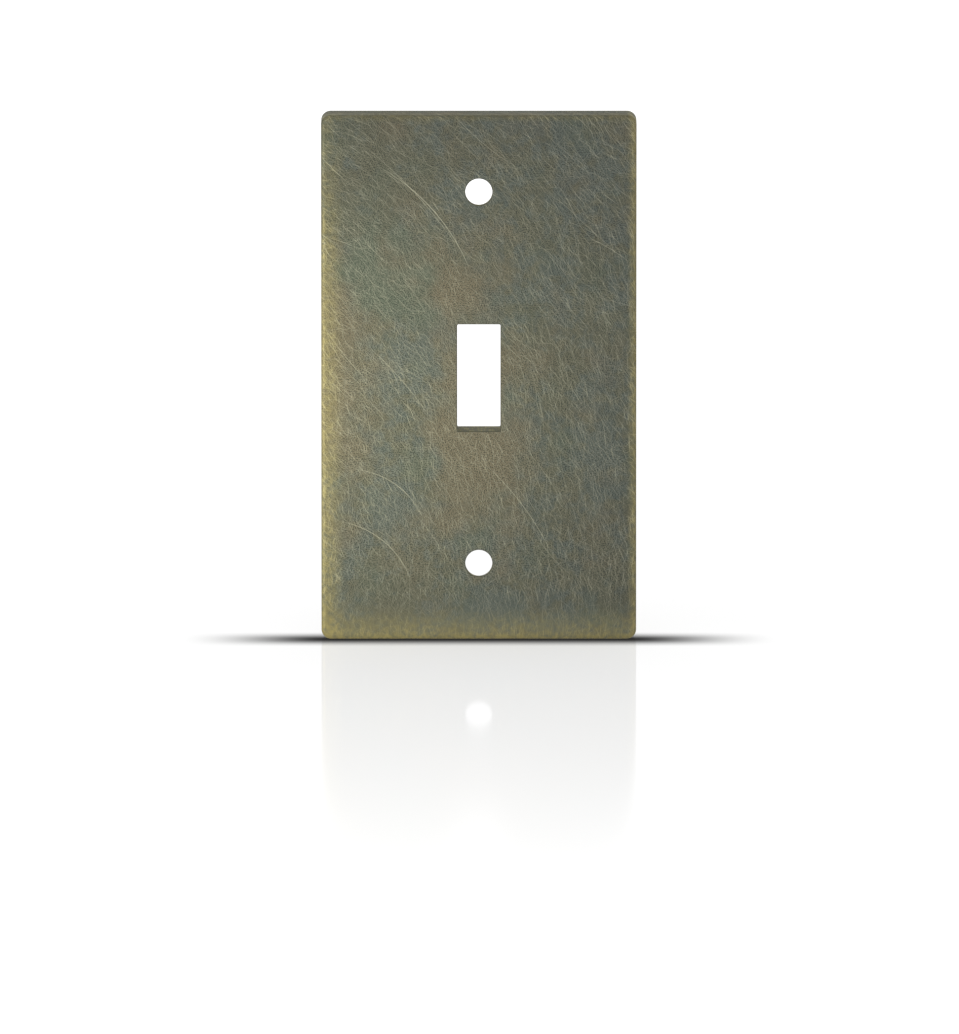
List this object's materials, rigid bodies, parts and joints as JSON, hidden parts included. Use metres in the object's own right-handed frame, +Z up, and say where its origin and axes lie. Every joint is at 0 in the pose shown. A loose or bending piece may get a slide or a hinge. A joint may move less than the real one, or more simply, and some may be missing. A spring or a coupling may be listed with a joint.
{
  "type": "toggle switch cover plate",
  "caption": "Upright rectangular metal cover plate with rolled edges and a hollow back, pierced by a toggle slot and a screw hole above and below it.",
  "frame": {"origin": "centre of the plate in the plane of the wall, level with its rear rim", "axes": "+Y into the wall, +Z up along the plate's height, +X to the right as seen from the room; the front face looks along -Y"},
  "size_m": [0.0698, 0.0079, 0.1174],
  "materials": {
    "aged_brass": "dark antique patina, half matt, covered in fine hair scratches and worn to golden brass along the edges"
  },
  "bodies": {
    "root": {"cover_plate": "aged_brass"}
  },
  "joints": []
}
